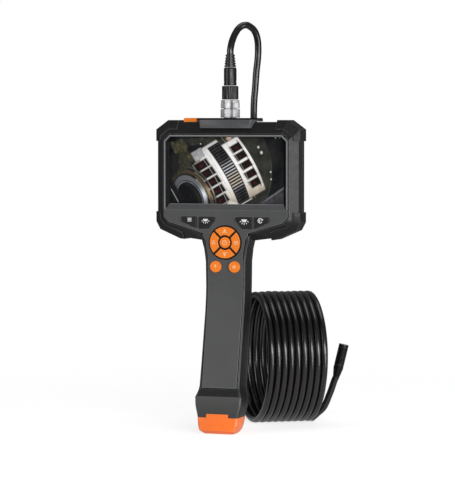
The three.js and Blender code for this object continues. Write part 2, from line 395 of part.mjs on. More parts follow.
screwGeos.forEach((g, i) => put("screw_" + (i + 1), g, 0x2a2c2e, 0.35, 1));

// origin at the centre of the foot of the unit's box, cable pieces left out
const CORD = new Set(["cable_loop", "cable_coil", "cable_tail", "probe_body", "probe_led_ring", "probe_lens"]);
const unitBox = new THREE.Box3();
part.children.filter((m) => !CORD.has(m.name)).forEach((m) => unitBox.expandByObject(m));
const centre = unitBox.getCenter(V(0, 0, 0));
part.children.forEach((m) => m.geometry.translate(-centre.x, -centre.y, -unitBox.min.z));
part.userData.shift = [-centre.x, -centre.y, -unitBox.min.z];

export default part;
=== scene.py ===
# Looks for the handheld inspection camera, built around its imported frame. Lengths below are in millimetres and scaled by MM.
import bpy, bmesh, math, json
import numpy as np
from mathutils import Vector, Matrix


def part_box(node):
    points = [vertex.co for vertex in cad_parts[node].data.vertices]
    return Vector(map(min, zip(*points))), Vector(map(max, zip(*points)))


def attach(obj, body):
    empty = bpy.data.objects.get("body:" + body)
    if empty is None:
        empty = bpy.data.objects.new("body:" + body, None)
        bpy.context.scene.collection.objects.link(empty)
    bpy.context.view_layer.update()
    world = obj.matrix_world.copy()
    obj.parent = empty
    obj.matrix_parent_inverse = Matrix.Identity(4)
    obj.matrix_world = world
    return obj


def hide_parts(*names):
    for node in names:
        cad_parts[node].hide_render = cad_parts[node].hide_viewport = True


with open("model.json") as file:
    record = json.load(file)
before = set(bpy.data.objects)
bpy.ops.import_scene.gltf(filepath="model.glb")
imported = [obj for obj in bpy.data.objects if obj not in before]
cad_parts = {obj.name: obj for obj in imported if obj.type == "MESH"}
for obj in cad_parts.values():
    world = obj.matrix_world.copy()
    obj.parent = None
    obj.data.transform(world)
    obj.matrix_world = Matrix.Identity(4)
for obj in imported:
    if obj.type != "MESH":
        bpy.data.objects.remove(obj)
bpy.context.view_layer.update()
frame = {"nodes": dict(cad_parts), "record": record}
MM = 0.001
SY = 10.3                      # the row frame's shift along Y from the design frame
FRONT = -16.0                  # bezel plane, design frame
PAD = 150.0
CON_Y = -3.6
scene = bpy.context.scene


def P(x, y, z):
    return Vector((x * MM, (y + SY) * MM, z * MM))


# ------------------------------------------------------------------ camera
cam_data = bpy.data.cameras.new("view_camera")
cam = bpy.data.objects.new("view_camera", cam_data)
scene.collection.objects.link(cam)
scene.camera = cam
AZ = math.radians(19.0)
cam.location = P(652.9, -1906.4, 245.0)
cam.rotation_euler = (math.radians(90 - 2.662), 0, AZ)
cam_data.sensor_width = 36.0
cam_data.lens = 190.1
cam_data.clip_start = 0.05
cam_data.clip_end = 60

# ------------------------------------------------------------------ materials
def new_mat(name):
    m = bpy.data.materials.new(name)
    m.use_nodes = True
    nt = m.node_tree
    nt.nodes.clear()
    out = nt.nodes.new("ShaderNodeOutputMaterial")
    b = nt.nodes.new("ShaderNodeBsdfPrincipled")
    nt.links.new(b.outputs[0], out.inputs[0])
    return m, nt, b


def noise(nt, scale, detail=4.0, rough=0.55, stretch=None):
    tc = nt.nodes.new("ShaderNodeTexCoord")
    n = nt.nodes.new("ShaderNodeTexNoise")
    n.inputs["Scale"].default_value = scale
    n.inputs["Detail"].default_value = detail
    n.inputs["Roughness"].default_value = rough
    if stretch:
        mp = nt.nodes.new("ShaderNodeMapping")
        mp.inputs["Scale"].default_value = stretch
        nt.links.new(tc.outputs["Object"], mp.inputs["Vector"])
        nt.links.new(mp.outputs[0], n.inputs["Vector"])
    else:
        nt.links.new(tc.outputs["Object"], n.inputs["Vector"])
    return n


def maprange(nt, src, a, b, lo_in=0.3, hi_in=0.7):
    r = nt.nodes.new("ShaderNodeMapRange")
    r.inputs["From Min"].default_value = lo_in
    r.inputs["From Max"].default_value = hi_in
    r.inputs["To Min"].default_value = a
    r.inputs["To Max"].default_value = b
    nt.links.new(src, r.inputs["Value"])
    return r.outputs["Result"]


def ramp(nt, src, stops):
    r = nt.nodes.new("ShaderNodeValToRGB")
    e = r.color_ramp.elements
    while len(e) < len(stops):
        e.new(0.5)
    for i, (p, c) in enumerate(stops):
        e[i].position = p
        e[i].color = (*c, 1)
    nt.links.new(src, r.inputs[0])
    return r.outputs["Color"]


def mixrgb(nt, fac, a, b):
    m = nt.nodes.new("ShaderNodeMix")
    m.data_type = "RGBA"
    nt.links.new(fac, m.inputs[0])
    for s, v in ((6, a), (7, b)):
        if isinstance(v, tuple):
            m.inputs[s].default_value = (*v, 1)
        else:
            nt.links.new(v, m.inputs[s])
    return m.outputs[2]


def scaled(c, k):
    return tuple(min(1.0, max(0.0, x * k)) for x in c)


def plastic(name, col, rough=0.5, rvar=0.07, cvar=0.16, grain=0.12, grain_scale=2600, edge_highlight=0.0, edge_highlight_col=None, spec=0.5, coat=0.0, sheen=0.0, metallic=0.0):
    m, nt, b = new_mat(name)
    big = noise(nt, 45, 5)
    base = ramp(nt, big.outputs["Fac"], [(0.32, scaled(col, 1 - cvar)), (0.52, col), (0.70, scaled(col, 1 + cvar))])
    fine = noise(nt, grain_scale, 3, 0.6)
    speck = maprange(nt, fine.outputs["Fac"], 0.0, 0.35, 0.45, 0.75)
    base = mixrgb(nt, speck, base, scaled(col, 1.0 + cvar))
    # painted highlight: the base colour is lightened along rolled edges, which the Bevel node finds
    if edge_highlight:
        geo = nt.nodes.new("ShaderNodeNewGeometry")
        bev = nt.nodes.new("ShaderNodeBevel")
        bev.samples = 4
        bev.inputs["Radius"].default_value = 0.0005
        dot = nt.nodes.new("ShaderNodeVectorMath")
        dot.operation = "DOT_PRODUCT"
        nt.links.new(bev.outputs[0], dot.inputs[0])
        nt.links.new(geo.outputs["Normal"], dot.inputs[1])
        w = maprange(nt, dot.outputs["Value"], edge_highlight, 0.0, 0.93, 0.998)
        base = mixrgb(nt, w, base, edge_highlight_col or scaled(col, 2.2))
    nt.links.new(base, b.inputs["Base Color"])
    mid = noise(nt, 260, 4)
    nt.links.new(maprange(nt, mid.outputs["Fac"], rough - rvar, rough + rvar), b.inputs["Roughness"])
    b.inputs["Specular IOR Level"].default_value = spec
    b.inputs["Metallic"].default_value = metallic
    if coat:
        b.inputs["Coat Weight"].default_value = coat
        b.inputs["Coat Roughness"].default_value = 0.2
    if sheen:
        b.inputs["Sheen Weight"].default_value = sheen
    bump = nt.nodes.new("ShaderNodeBump")
    bump.inputs["Strength"].default_value = grain
    bump.inputs["Distance"].default_value = 0.0002
    nt.links.new(fine.outputs["Fac"], bump.inputs["Height"])
    nt.links.new(bump.outputs[0], b.inputs["Normal"])
    return m


def turned_metal(name, col, rough=0.28, stretch=(30, 30, 2600), grain=0.08):
    m, nt, b = new_mat(name)
    rings = noise(nt, 1.0, 4, 0.6, stretch)
    blot = noise(nt, 160, 4)
    c1 = ramp(nt, rings.outputs["Fac"], [(0.3, scaled(col, 0.82)), (0.55, col), (0.75, scaled(col, 1.12))])
    base = mixrgb(nt, maprange(nt, blot.outputs["Fac"], 0.0, 0.35), c1, scaled(col, 0.78))
    nt.links.new(base, b.inputs["Base Color"])
    b.inputs["Metallic"].default_value = 1.0
    nt.links.new(maprange(nt, blot.outputs["Fac"], rough - 0.06, rough + 0.10), b.inputs["Roughness"])
    bump = nt.nodes.new("ShaderNodeBump")
    bump.inputs["Strength"].default_value = grain
    bump.inputs["Distance"].default_value = 0.0001
    nt.links.new(rings.outputs["Fac"], bump.inputs["Height"])
    nt.links.new(bump.outputs[0], b.inputs["Normal"])
    return m


# the edge lightening set for several materials below is a painted highlight along their rolled edges
MAT = {
    "housing": plastic("housing_black", (0.0088, 0.009, 0.0095), 0.40, edge_highlight=0.6, edge_highlight_col=(0.20, 0.203, 0.21), grain=0.03, rvar=0.03, spec=0.34),
    "panel": plastic("panel_grey", (0.074, 0.075, 0.077), 0.42, rvar=0.05, cvar=0.08, edge_highlight=0.6, edge_highlight_col=(0.38, 0.385, 0.395), grain=0.10, grain_scale=3200),
    "bumper": plastic("bumper_rubber", (0.0062, 0.0064, 0.007), 0.48, edge_highlight=0.65, edge_highlight_col=(0.20, 0.203, 0.21), grain=0.14, grain_scale=2000, spec=0.35),
    "orange": plastic("key_orange", (0.97, 0.235, 0.014), 0.40, cvar=0.06, grain=0.08, edge_highlight=0.35, edge_highlight_col=(1.0, 0.42, 0.10), coat=0.15),
    "cap": plastic("cap_orange", (0.99, 0.19, 0.022), 0.36, cvar=0.06, grain=0.08, edge_highlight=0.45, edge_highlight_col=(1.0, 0.36, 0.12), coat=0.2),
    "key": plastic("key_black", (0.008, 0.008, 0.009), 0.45, edge_highlight=0.4, edge_highlight_col=(0.09, 0.09, 0.095), grain=0.10),
    "rim": plastic("rim_black", (0.007, 0.0065, 0.0065), 0.35, grain=0.06),
    "block": plastic("block_grey", (0.070, 0.071, 0.074), 0.38, cvar=0.10, edge_highlight=0.5, edge_highlight_col=(0.2, 0.2, 0.21), grain=0.12),
    "plug": plastic("plug_black", (0.0045, 0.0045, 0.005), 0.36, edge_highlight=0.4, edge_highlight_col=(0.08, 0.08, 0.085), grain=0.10),
    "cable": plastic("cable_black", (0.0036, 0.0036, 0.0041), 0.25, rvar=0.02, cvar=0.1, grain=0.004, grain_scale=500, spec=0.72),
    "probe": plastic("probe_black", (0.008, 0.008, 0.0095), 0.30, metallic=0.6, grain=0.05, edge_highlight=0.4, edge_highlight_col=(0.2, 0.2, 0.21)),
    "silver": turned_metal("metal_silver", (0.80, 0.80, 0.82), 0.24, stretch=(20, 20, 700), grain=0.0),
    "steel": turned_metal("steel_dark", (0.16, 0.16, 0.17), 0.36, (900, 900, 900)),
    "led": plastic("led_white", (0.86, 0.88, 0.92), 0.15, cvar=0.04, grain=0.02, coat=0.5),
    "lens": plastic("lens_glass", (0.012, 0.014, 0.03), 0.06, rvar=0.02, grain=0.01, coat=1.0),
    "board": plastic("board_green", (0.012, 0.11, 0.035), 0.35, cvar=0.3, grain=0.2),
    "tray": plastic("tray_white", (0.75, 0.76, 0.77), 0.5, cvar=0.05),
    "ribbon": plastic("ribbon_amber", (0.55, 0.24, 0.03), 0.3, cvar=0.15),
    "membrane": plastic("membrane_grey", (0.12, 0.12, 0.125), 0.7, cvar=0.1),
    "cell": plastic("cell_wrap", (0.02, 0.12, 0.38), 0.3, cvar=0.1, coat=0.4),
    "display": plastic("display_black", (0.01, 0.011, 0.013), 0.25, grain=0.02),
    # painted highlight strip round the display opening
    "edge": plastic("painted_rim_highlight", (0.30, 0.30, 0.31), 0.25, cvar=0.08, grain=0.02, coat=0.3),
    "icon_white": plastic("icon_white", (0.82, 0.82, 0.82), 0.5, rvar=0.04, cvar=0.05, grain=0.03),
    "icon_pale": plastic("icon_pale", (1.0, 0.62, 0.33), 0.5, rvar=0.04, cvar=0.05, grain=0.03),
}



def paint_shade_where(m, limits, dark, normal_below=None):
    """Painted shade: mixes the base colour to dark, and the specular level down, where object coordinates (mm, design
    frame) are past the limits.
    """
    nt = m.node_tree
    b = next(n for n in nt.nodes if n.type == "BSDF_PRINCIPLED")
    src = b.inputs["Base Color"].links[0].from_socket
    tc = nt.nodes.new("ShaderNodeTexCoord")
    sep = nt.nodes.new("ShaderNodeSeparateXYZ")
    nt.links.new(tc.outputs["Object"], sep.inputs[0])
    mask = None
    for axis, above in limits:
        mt = nt.nodes.new("ShaderNodeMath")
        mt.operation = "GREATER_THAN"
        mt.inputs[1].default_value = (above + (SY if axis == 1 else 0)) * MM
        nt.links.new(sep.outputs[axis], mt.inputs[0])
        mask = mt.outputs[0]
    if normal_below is not None:
        geo = nt.nodes.new("ShaderNodeNewGeometry")
        sn = nt.nodes.new("ShaderNodeSeparateXYZ")
        nt.links.new(geo.outputs["Normal"], sn.inputs[0])
        lt = nt.nodes.new("ShaderNodeMath")
        lt.operation = "LESS_THAN"
        lt.inputs[1].default_value = normal_below
        nt.links.new(sn.outputs[2], lt.inputs[0])
        mu = nt.nodes.new("ShaderNodeMath")
        mu.operation = "MULTIPLY"
        nt.links.new(mask, mu.inputs[0])
        nt.links.new(lt.outputs[0], mu.inputs[1])
        mask = mu.outputs[0]
    nt.links.new(mixrgb(nt, mask, src, dark), b.inputs["Base Color"])
    nt.links.new(maprange(nt, mask, b.inputs["Specular IOR Level"].default_value, 0.04), b.inputs["Specular IOR Level"])




def make_painted_reflection_metal(name):
    """Polished turned metal with painted reflections: light and dark streaks in the base colour, running along the
    axis, repeated three times round.
    """
    m, nt, b = new_mat(name)
    tc = nt.nodes.new("ShaderNodeTexCoord")
    sep = nt.nodes.new("ShaderNodeSeparateXYZ")
    nt.links.new(tc.outputs["Object"], sep.inputs[0])
    off = nt.nodes.new("ShaderNodeMath")
    off.operation = "SUBTRACT"
    off.inputs[1].default_value = (CON_Y + SY) * MM
    nt.links.new(sep.outputs[1], off.inputs[0])
    ang = nt.nodes.new("ShaderNodeMath")
    ang.operation = "ARCTAN2"
    nt.links.new(off.outputs[0], ang.inputs[0])
    nt.links.new(sep.outputs[0], ang.inputs[1])
    turn = nt.nodes.new("ShaderNodeMath")
    turn.operation = "MULTIPLY_ADD"
    turn.inputs[1].default_value = 3 / (2 * math.pi)
    turn.inputs[2].default_value = 141 / 120 + 3
    nt.links.new(ang.outputs[0], turn.inputs[0])
    fr = nt.nodes.new("ShaderNodeMath")
    fr.operation = "FRACT"
    nt.links.new(turn.outputs[0], fr.inputs[0])
    # painted reflections: light and dark bands by angle round the connector axis
    g = [(0.0, 0.62), (0.16, 0.50), (0.25, 0.22), (0.33, 0.86), (0.52, 0.88), (0.60, 0.26), (0.68, 0.035), (0.76, 0.50), (0.90, 0.66), (1.0, 0.62)]
    reflection_bands = ramp(nt, fr.outputs[0], [(p, (v, v, v * 1.03)) for p, v in g])
    fine = noise(nt, 1.0, 3, 0.6, (40, 40, 900))
    nt.links.new(mixrgb(nt, maprange(nt, fine.outputs["Fac"], 0.0, 0.25), reflection_bands, (0.35, 0.35, 0.36)), b.inputs["Base Color"])
    blot = noise(nt, 90, 3)
    nt.links.new(maprange(nt, blot.outputs["Fac"], 0.44, 0.54), b.inputs["Roughness"])
    b.inputs["Metallic"].default_value = 0.35
    return m


MAT["painted_reflection"] = make_painted_reflection_metal("metal_painted_reflections")
# painted shade: faces of the grey bezel behind its front face, the recess walls among them, are darkened and made less
# glossy unless they face upwards
paint_shade_where(MAT["panel"], [(1, FRONT + 0.14)], (0.007, 0.007, 0.008), 0.25)
# painted shade: the top of the connector block, above z 246.9 mm, is darkened
paint_shade_where(MAT["block"], [(2, 246.9)], (0.008, 0.008, 0.009))


def foot_front_painted_light(m, top, bottom, tone):
    """Painted highlight: the base colour of the flared foot's front-facing faces is mixed towards a lighter grey; it
    fades out downwards.
    """
    nt = m.node_tree
    b = next(n for n in nt.nodes if n.type == "BSDF_PRINCIPLED")
    src = b.inputs["Base Color"].links[0].from_socket
    tc = nt.nodes.new("ShaderNodeTexCoord")
    sep = nt.nodes.new("ShaderNodeSeparateXYZ")
    nt.links.new(tc.outputs["Object"], sep.inputs[0])
    fade = maprange(nt, sep.outputs[2], 0.55, 1.0, bottom * MM, top * MM)
    geo = nt.nodes.new("ShaderNodeNewGeometry")
    sn = nt.nodes.new("ShaderNodeSeparateXYZ")
    nt.links.new(geo.outputs["Normal"], sn.inputs[0])
    mask = None
    for socket, op, limit in ((sep.outputs[2], "LESS_THAN", top * MM), (sn.outputs[1], "LESS_THAN", -0.75)):
        q = nt.nodes.new("ShaderNodeMath")
        q.operation = op
        q.inputs[1].default_value = limit
        nt.links.new(socket, q.inputs[0])
        mu = nt.nodes.new("ShaderNodeMath")
        mu.operation = "MULTIPLY"
        nt.links.new(mask if mask else fade, mu.inputs[0])
        nt.links.new(q.outputs[0], mu.inputs[1])
        mask = mu.outputs[0]
    nt.links.new(mixrgb(nt, mask, src, tone), b.inputs["Base Color"])


# painted highlight on the front face of the foot
foot_front_painted_light(MAT["housing"], 29.5, 11.0, (0.072, 0.072, 0.071))
NODE_MAT = {
    "front_shell": "housing", "rear_shell": "housing", "front_bezel": "panel", "lcd_panel": "display", "backlight_tray": "tray", "main_board": "board",
    "ribbon_cable": "ribbon", "keypad_membrane": "membrane", "keypad_board": "board", "dpad_frame": "rim", "dpad_right": "orange", "dpad_up": "orange",
    "dpad_left": "orange", "dpad_down": "orange", "ok_key": "orange", "key_round_left": "orange", "key_round_right": "orange", "key_menu": "key",
    "key_light_down": "key", "key_light_up": "key", "key_rotate": "key", "key_top": "orange", "bumper_top_left": "bumper", "bumper_top_right": "bumper",
    "bumper_bottom_left": "bumper", "bumper_bottom_right": "bumper", "connector_block": "block", "receptacle": "silver", "coupling_nut": "silver",
    "plug_grip": "plug", "plug_body": "plug", "strain_relief": "plug", "cable_loop": "cable", "cable_coil": "cable", "cable_tail": "cable", "probe_body": "probe",
    "probe_led_ring": "led", "probe_lens": "lens", "battery_cell": "cell", "battery_cradle": "key", "port_panel": "key", "usb_socket": "silver", "card_slot": "silver",
    "memory_card": "key", "end_cap": "cap", "hinge_pin": "silver", **{f"screw_{i}": "steel" for i in range(1, 7)},
}
BODY = {n: b for b, ns in frame["record"]["behaviour"]["bodies"].items() for n in ns}
for n, o in frame["nodes"].items():
    if n in NODE_MAT:
        o.data.materials.clear()
        o.data.materials.append(MAT[NODE_MAT[n]])


# ------------------------------------------------------------------ mesh helpers
def finish_piece(ob, body, nodes=(), mat=None):
    if mat:
        ob.data.materials.clear()
        ob.data.materials.append(MAT[mat] if isinstance(mat, str) else mat)
    if nodes:
        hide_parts(*nodes)
    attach(ob, body)
    return ob


def from_bmesh(name, bm, angle=35):
    bmesh.ops.recalc_face_normals(bm, faces=bm.faces)
    me = bpy.data.meshes.new(name)
    bm.to_mesh(me)
    bm.free()
    me.shade_smooth()
    me.set_sharp_from_angle(angle=math.radians(angle))
    ob = bpy.data.objects.new(name, me)
    scene.collection.objects.link(ob)
    return ob


def apply_mods(ob):
    dg = bpy.context.evaluated_depsgraph_get()
    me = bpy.data.meshes.new_from_object(ob.evaluated_get(dg))
    ob.modifiers.clear()
    ob.data = me
    return ob


def refine(node, width=0.4, segments=2, angle=28, smooth=32, mat=None, merge_angle=0.4, cuts=(), weigh=False):
    """A rounded copy of a CAD node: welded, flat regions joined, edges rolled over."""
    src = frame["nodes"][node]
    bm = bmesh.new()
    bm.from_mesh(src.data)
    bmesh.ops.remove_doubles(bm, verts=bm.verts, dist=2e-6)
    for axis, value in cuts:               # seams through the holes keep the joined faces simple
        co, no = [0, 0, 0], [0, 0, 0]
        co[axis], no[axis] = P(value, value, value)[axis], 1
        cut = bmesh.ops.bisect_plane(bm, geom=bm.verts[:] + bm.edges[:] + bm.faces[:], dist=2e-6, plane_co=co, plane_no=no)
        for e in cut["geom_cut"]:
            if isinstance(e, bmesh.types.BMEdge):
                e.seam = True
    bmesh.ops.dissolve_limit(bm, angle_limit=math.radians(merge_angle), verts=bm.verts, edges=bm.edges, delimit={"SEAM"})
    bmesh.ops.remove_doubles(bm, verts=bm.verts, dist=1e-5)
    ob = from_bmesh(node + "_fine", bm, smooth)
    if width:
        md = ob.modifiers.new("roll", "BEVEL")
        md.width = width * MM
        md.segments = segments
        md.limit_method = "ANGLE"
        md.angle_limit = math.radians(angle)
        md.use_clamp_overlap = True
        md.miter_outer = "MITER_ARC"
        md.harden_normals = True
        if weigh:                          # flat panels keep their own normal up to the rolled edge
            wn = ob.modifiers.new("panel_normals", "WEIGHTED_NORMAL")
            wn.mode = "FACE_AREA"
            wn.weight = 100
            wn.keep_sharp = True
        apply_mods(ob)
        if weigh:
            me = ob.data
            cn = [tuple(c.vector) for c in me.corner_normals]
            for f in me.polygons:
                if f.area > 60 * MM * MM and f.center.z > 150 * MM:
                    for k in f.loop_indices:
                        cn[k] = tuple(f.normal)
            me.normals_split_custom_set(cn)
    return finish_piece(ob, BODY[node], (node,), mat or NODE_MAT[node])


def lathe(name, prof, segs=72, origin=(0, 0, 0), direction=(0, 0, 1), radial=None, angle=35):
    """Turned solid: prof is (radius, height) in mm from axis to axis; radial(theta, i) scales the radius."""
    bm = bmesh.new()
    rows = []
    for i, (r, z) in enumerate(prof):
        if r < 1e-6:
            rows.append([bm.verts.new((0, 0, z * MM))])
        else:
            row = []
            for k in range(segs):
                t = 2 * math.pi * k / segs
                q = r * (radial(t, i) if radial else 1.0)
                row.append(bm.verts.new((q * math.cos(t) * MM, q * math.sin(t) * MM, z * MM)))
            rows.append(row)
    pairs = list(zip(rows, rows[1:]))
    if len(rows[0]) > 1:
        pairs.append((rows[-1], rows[0]))
    for a, b in pairs:
        for k in range(segs):
            j = (k + 1) % segs
            if len(a) == 1 and len(b) == 1:
                continue
            if len(a) == 1:
                bm.faces.new((a[0], b[k], b[j]))
            elif len(b) == 1:
                bm.faces.new((a[k], a[j], b[0]))
            else:
                bm.faces.new((a[k], a[j], b[j], b[k]))
    ob = from_bmesh(name, bm, angle)
    q = Vector((0, 0, 1)).rotation_difference(Vector(direction).normalized())
    ob.data.transform(Matrix.Translation(P(*origin)) @ q.to_matrix().to_4x4())
    return ob


def prism(name, loops, y_front, y_back, roll=0.0):
    """Closed outlines in the X-Z plane, pushed along Y (mm). Outlines don't cross."""
    bm = bmesh.new()
    for pts in loops:
        f = [bm.verts.new(P(x, y_front, z)) for x, z in pts]
        g = [bm.verts.new(P(x, y_back, z)) for x, z in pts]
        n = len(pts)
        bm.faces.new(f)
        bm.faces.new(list(reversed(g)))
        for i in range(n):
            j = (i + 1) % n
            bm.faces.new((f[j], f[i], g[i], g[j]))
    return from_bmesh(name, bm, 30)


def arc(cx, cz, r, a0, a1, n):
    return [(cx + r * math.cos(math.radians(a0 + (a1 - a0) * i / n)), cz + r * math.sin(math.radians(a0 + (a1 - a0) * i / n))) for i in range(n + 1)]


def ring_band(cx, cz, r0, r1, a0=0, a1=360, n=40):
    """Outline of a ring or part ring, as two half loops when it closes on itself."""
    if abs(a1 - a0) >= 359.9:
        return [arc(cx, cz, r1, 0, 180, n // 2) + arc(cx, cz, r0, 180, 0, n // 2), arc(cx, cz, r1, 180, 360, n // 2) + arc(cx, cz, r0, 360, 180, n // 2)]
    return [arc(cx, cz, r1, a0, a1, n) + arc(cx, cz, r0, a1, a0, n)]


def bar(x0, z0, x1, z1, w):
    d = Vector((x1 - x0, z1 - z0)).normalized()
    nx, nz = -d.y * w / 2, d.x * w / 2
    return [(x0 + nx, z0 + nz), (x0 - nx, z0 - nz), (x1 - nx, z1 - nz), (x1 + nx, z1 + nz)]


# ------------------------------------------------------------------ the push cable
COIL_C = Vector((21.1, 65.2, 53.5))
COIL_A = Vector((-0.834, -0.552, 0)).normalized()
COIL_H = Vector((0.552, -0.834, 0)).normalized()
COIL_R = 51.0
LOOP = [
    (0, CON_Y, 299.2), (0.02, -3.45, 302), (0.2, -2.7, 304.8), (0.7, -0.8, 309.4), (2.2, 3.7, 316.1), (4.1, 6.8, 319.9), (7.6, 10.5, 322.2), (10.5, 15.6, 320.8),
    (12.6, 19.4, 317.7), (14.0, 22.4, 311.5), (14.2, 23.9, 303.9), (13.7, 24.2, 294.9), (12.6, 24.4, 286.1), (11.6, 24.5, 273.3), (10.5, 24.6, 260.6), (10.0, 25.2, 248.4),
    (8.6, 27, 225), (4.8, 32.5, 190), (-3, 44, 150), (-12.2, 59.5, 122), (-16.2, 68.5, 109),
]
TAIL = [(47.3, 66.2, 4.0), (50.6, 61.6, 6.1), (54.4, 58.8, 9.2), (58.5, 57.6, 12.7), (61.4, 57.5, 17.6), (63.2, 57.6, 22.0), (65.7, 58.0, 28.5), (66.9, 58.2, 32.3), (68.2, 58.3, 36.0)]
PROBE_BASE = Vector((71.1, 58.7, 45.5))
PROBE_DIR = Vector((0.232, 0.055, 1)).normalized()
PROBE_LEN = 20.3
PER_TURN = 16


def coil_point(phi):
    """phi in degrees from the back of the left turn, going down first."""
    turns = max(0.0, phi) / 360.0
    s = 25.45 - 50.9 * turns / 9.25
    wob = 0.14 * math.sin(phi * 0.0131 + 1.3) + 0.10 * math.sin(math.radians(phi) * 2.17 + 0.6)
    low = max(0.0, math.sin(math.radians(phi)))
    r = COIL_R - 0.25 + wob * (1 - 0.8 * low ** 2) + 0.25 * low ** 4
    s += 0.015 * math.sin(math.radians(phi) * 1.31 + 0.4)
    a = math.radians(phi)
    p = COIL_C + COIL_A * s - COIL_H * (r * math.cos(a)) - Vector((0, 0, 1)) * (r * math.sin(a))
    p.z = max(p.z, 2.73)
    return p


route = [Vector(p) for p in LOOP]
phi = -43.0
while phi < 3330 - 8:
    route.append(coil_point(phi))
    phi += 360.0 / PER_TURN
route.append(coil_point(3330))
route += [Vector(p) for p in TAIL]
route.append(PROBE_BASE - PROBE_DIR * 6.5)

cd = bpy.data.curves.new("push_cable", "CURVE")
cd.dimensions = "3D"
cd.bevel_depth = 2.72 * MM
cd.bevel_resolution = 5
cd.resolution_u = 6
cd.use_fill_caps = True
sp = cd.splines.new("BEZIER")
sp.bezier_points.add(len(route) - 1)
for bp, p in zip(sp.bezier_points, route):
    bp.co = P(*p)
    bp.handle_left_type = bp.handle_right_type = "AUTO"
cable = bpy.data.objects.new("push_cable", cd)
scene.collection.objects.link(cable)
cd.materials.append(MAT["cable"])
bpy.context.view_layer.update()


# ------------------------------------------------------------------ probe
def probe_piece(name, prof, mat, nodes, segs=64, radial=None):
    ob = lathe(name, prof, segs, tuple(PROBE_BASE), tuple(PROBE_DIR), radial)
    return finish_piece(ob, "unit", nodes, mat)


L = PROBE_LEN
probe = probe_piece("probe_housing", [(0, -6.6), (2.55, -6.6), (2.72, -6.45), (2.9, -5.6), (3.75, -0.8), (3.88, -0.3), (3.95, 0.2), (3.95, 3.0), (3.8, 3.12), (3.8, 3.5), (3.95, 3.62),
                                      (3.95, L - 2.6), (3.82, L - 2.5), (3.82, L - 2.2), (3.95, L - 2.1), (3.95, L - 0.35), (3.88, L - 0.12), (3.7, L), (3.45, L - 0.02), (3.38, L - 0.9), (0, L - 0.9)], "probe", ("probe_body",))
ledring = probe_piece("probe_lamp_ring", [(1.45, L - 0.62), (3.3, L - 0.62), (3.3, L - 0.12), (3.2, L - 0.02), (1.55, L - 0.02), (1.45, L - 0.12)], "rim", ("probe_led_ring",))
lens = probe_piece("probe_lens_dome", [(0, L - 0.62), (1.28, L - 0.62), (1.28, L - 0.1), (1.15, L + 0.03), (0.9, L + 0.02), (0.8, L - 0.02), (0.55, L + 0.1), (0.28, L + 0.16), (0, L + 0.18)], "lens", ("probe_lens",))
q = Vector((0, 0, 1)).rotation_difference(PROBE_DIR)
leds = []
bm = bmesh.new()
for k in range(6):
    t = 2 * math.pi * k / 6
    m = Matrix.Translation(P(*PROBE_BASE)) @ q.to_matrix().to_4x4() @ Matrix.Translation(Vector((2.4 * math.cos(t), 2.4 * math.sin(t), L - 0.05)) * MM) @ Matrix.Diagonal((1, 1, 0.45, 1))
    bmesh.ops.create_uvsphere(bm, u_segments=16, v_segments=8, radius=0.62 * MM, matrix=m)
led_domes = finish_piece(from_bmesh("probe_lamps", bm, 60), "unit", (), "led")

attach(cable, "unit")
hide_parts("cable_loop", "cable_coil", "cable_tail")

# ------------------------------------------------------------------ housing pieces
HOLES = [(0, v) for v in (0, -7.85, 7.85, -15.4, 15.4, -30.35, 30.35, -44, 44, -47.5, 47.5)]
refine("front_shell", 0.5, cuts=HOLES, weigh=True)
refine("rear_shell", 0.6, cuts=HOLES, weigh=True)
refine("front_bezel", 0.4, cuts=HOLES[:7])
refine("connector_block", 0.7, cuts=HOLES[:1])
for n in ("bumper_top_left", "bumper_top_right", "bumper_bottom_left", "bumper_bottom_right"):
    refine(n, 0.45)
refine("end_cap", 0.6, cuts=[(0, 0), (0, -6.4), (0, 6.4)])
for n in ("dpad_right", "dpad_up", "dpad_left", "dpad_down"):
    refine(n, 0.35, 3)
refine("dpad_frame", 0.15, cuts=[(0, 0), (2, PAD)])
for n in ("key_menu", "key_light_down", "key_light_up", "key_rotate"):
    refine(n, 0.35, 3)
refine("key_top", 0.35, 3)
refine("port_panel", 0.2, cuts=[(0, -5.6), (0, 7.8)])
refine("hinge_pin", 0.15)

# painted highlight: a thin light-grey strip laid round the display opening
ty = FRONT - 0.07
rim_highlight_strip = [bar(-51.05, PAD + 26.4, -51.05, PAD + 79.9, 0.42), bar(51.05, PAD + 26.4, 51.05, PAD + 79.9, 0.42), bar(-51.0, PAD + 79.95, -46.7, PAD + 84.25, 0.42), bar(46.7, PAD + 84.25, 51.0, PAD + 79.95, 0.42), bar(-46.6, PAD + 84.3, 46.6, PAD + 84.3, 0.42)]
ob = prism("display_rim_highlight", rim_highlight_strip, ty, FRONT + 0.02)
finish_piece(ob, "unit", (), "edge")

# round keys: domed caps with a raised ring
def round_key(node, x, z, r, name):
    f, bk = FRONT - 1.3, FRONT + 4.7
    h = bk - f
    prof = [(0, 0), (r, 0), (r, h - 0.75), (r - 0.1, h - 0.35), (r - 0.35, h - 0.08), (r - 0.8, h)]
    if r > 4.5:
        prof += [(r - 0.95, h), (r - 1.12, h - 0.38), (r - 1.75, h - 0.40), (r - 1.95, h - 0.02), (r - 2.3, h + 0.02), (0, h + 0.03)]
    else:
        prof += [(r * 0.5, h + 0.08), (0, h + 0.1)]
    ob = lathe(name, prof, 72, (x, bk, z), (0, -1, 0))
    finish_piece(ob, BODY[node], (node,), "orange")


round_key("ok_key", 0, PAD, 4.4, "ok_key_fine")
round_key("key_round_left", -7.85, PAD - 19.2, 4.6, "key_round_left_fine")
round_key("key_round_right", 7.85, PAD - 19.2, 4.6, "key_round_right_fine")

